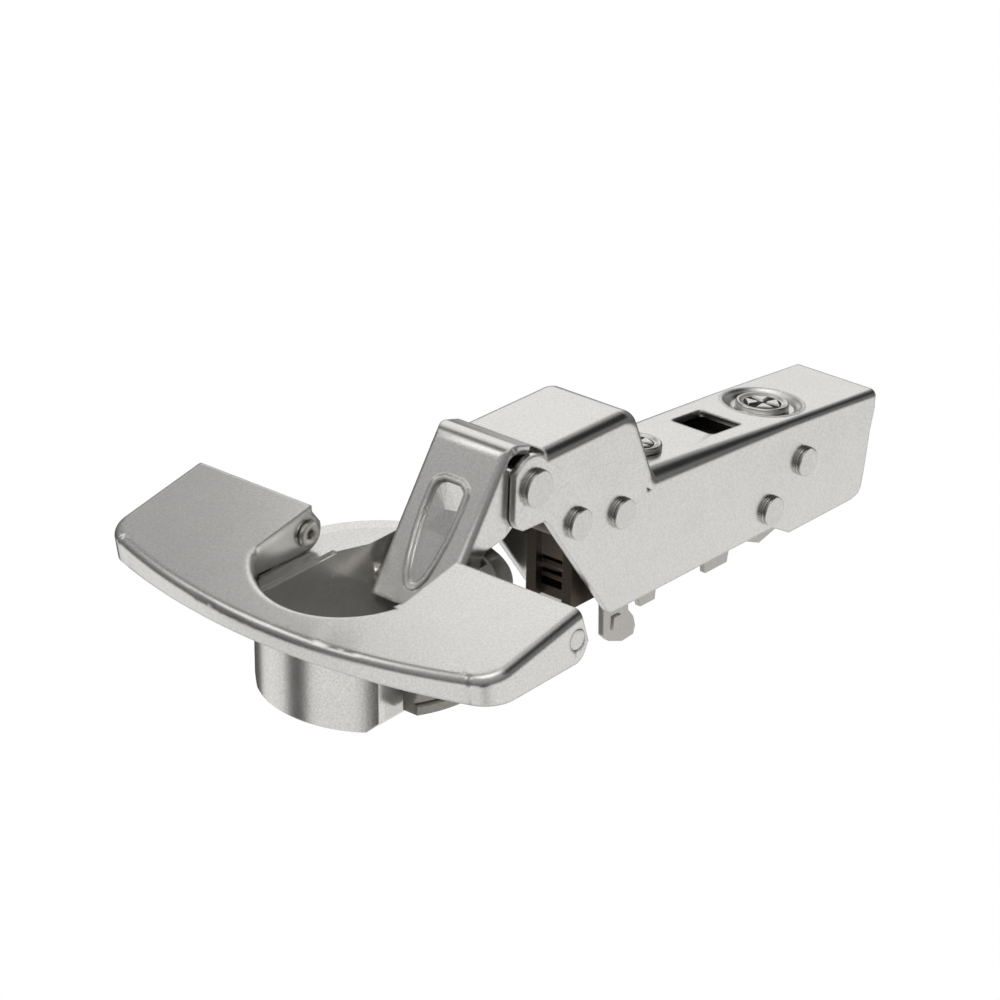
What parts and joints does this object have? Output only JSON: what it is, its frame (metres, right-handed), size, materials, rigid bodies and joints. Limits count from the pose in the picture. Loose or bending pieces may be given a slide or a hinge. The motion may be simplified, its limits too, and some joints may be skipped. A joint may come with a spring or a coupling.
{
  "type": "concealed cup hinge",
  "caption": "Concealed cabinet hinge with a cranked arm, double links, a round door cup under a tip-up clamping cover, and screws that adjust the arm.",
  "frame": {"origin": "centre of the door cup, on the inner face of the door where the collar seats", "axes": "+X from the cup along the arm, +Y across the hinge, +Z out of the cup mouth, away from the door"},
  "size_m": [0.1324, 0.0714, 0.0415],
  "materials": {
    "nickel_sheet": "satin nickel-plated pressed steel",
    "nickel_cast": "satin nickel-plated casting",
    "rivet_steel": "nickel-plated turned steel",
    "inner_steel": "nickel-plated pressed steel",
    "dark_steel": "dull oiled steel",
    "spring_steel": "drawn spring wire"
  },
  "bodies": {
    "arm": {"arm_housing": "nickel_sheet", "rivet_outer_link": "rivet_steel", "rivet_inner_link": "rivet_steel", "rivet_spring": "rivet_steel", "rivet_latch": "rivet_steel", "rivet_bracket": "rivet_steel", "spring_cage": "dark_steel", "closing_spring": "spring_steel", "latch_spring_left": "spring_steel", "latch_spring_right": "spring_steel"},
    "outer_link": {"outer_link": "nickel_sheet"},
    "inner_link": {"inner_link": "dark_steel"},
    "cup": {"cup_body": "nickel_cast", "cover_axle_left": "rivet_steel", "cover_axle_right": "rivet_steel", "outer_link_pin_left": "rivet_steel", "outer_link_pin_right": "rivet_steel", "inner_link_pin": "rivet_steel"},
    "cover": {"cover": "nickel_sheet"},
    "jaw_left": {"clamp_jaw_left": "nickel_cast"},
    "jaw_right": {"clamp_jaw_right": "nickel_cast"},
    "bracket": {"base_bracket": "inner_steel"},
    "clip": {"clip_base": "inner_steel"},
    "side_screw": {"side_screw": "rivet_steel"},
    "depth_cam": {"depth_cam": "rivet_steel"},
    "latch": {"release_latch": "inner_steel"}
  },
  "joints": [
    {"name": "outer_link_swing", "type": "hinge", "parent": "arm", "child": "outer_link", "pos_m": [0.0249, 0, 0.0087], "axis": [0, -1, 0], "range_deg": [0, 27]},
    {"name": "hinge_fold", "type": "hinge", "parent": "outer_link", "child": "cup", "pos_m": [0.0104, 0, -0.0046], "axis": [0, 1, 0], "range_deg": [0, 118.67]},
    {"name": "inner_link_swing", "type": "hinge", "parent": "arm", "child": "inner_link", "pos_m": [0.03453, 0, -0.00059], "axis": [0, -1, 0], "range_deg": [0, 29.45]},
    {"name": "cover_tip", "type": "hinge", "parent": "cup", "child": "cover", "pos_m": [0.0002, 0, 0.004], "axis": [0, 1, 0], "range_deg": [0, 35]},
    {"name": "jaw_left_slide", "type": "slide", "parent": "cup", "child": "jaw_left", "axis": [0, -1, 0], "range_m": [0, 0.0005001]},
    {"name": "jaw_right_slide", "type": "slide", "parent": "cup", "child": "jaw_right", "axis": [0, 1, 0], "range_m": [0, 0.0005001]},
    {"name": "side_screw_turn", "type": "hinge", "parent": "arm", "child": "side_screw", "pos_m": [0.05817, 0, 0.00041], "axis": [0.1219, 0, 0.9925], "range_deg": [0, 378.1]},
    {"name": "bracket_tilt", "type": "hinge", "parent": "arm", "child": "bracket", "pos_m": [0.09004, 0, -0.01114], "axis": [0, -1, 0], "range_deg": [0, 1.5]},
    {"name": "depth_cam_turn", "type": "hinge", "parent": "arm", "child": "depth_cam", "pos_m": [0.08967, 0, -0.00346], "axis": [0.1219, 0, 0.9925], "range_deg": [-40.01, 40.01]},
    {"name": "clip_slide", "type": "slide", "parent": "bracket", "child": "clip", "axis": [0.9925, 0, -0.1219], "range_m": [-0.00129, 0.00129]},
    {"name": "latch_swing", "type": "hinge", "parent": "arm", "child": "latch", "pos_m": [0.08158, 0, -0.01639], "axis": [0, -1, 0], "range_deg": [0, 10], "stiffness_Nm_per_rad": 0.05, "springref_deg": -5.73}
  ],
  "couplings": [
    {"joint": "outer_link_swing", "follows": "hinge_fold", "ratio": 0.22726},
    {"joint": "inner_link_swing", "follows": "hinge_fold", "ratio": 0.24793},
    {"joint": "jaw_left_slide", "follows": "cover_tip", "m_per_rad": 0.00081851},
    {"joint": "jaw_right_slide", "follows": "cover_tip", "m_per_rad": 0.00081851},
    {"joint": "side_screw_turn", "follows": "bracket_tilt", "ratio": 252},
    {"joint": "depth_cam_turn", "follows": "clip_slide", "rad_per_m": -543.05}
  ]
}
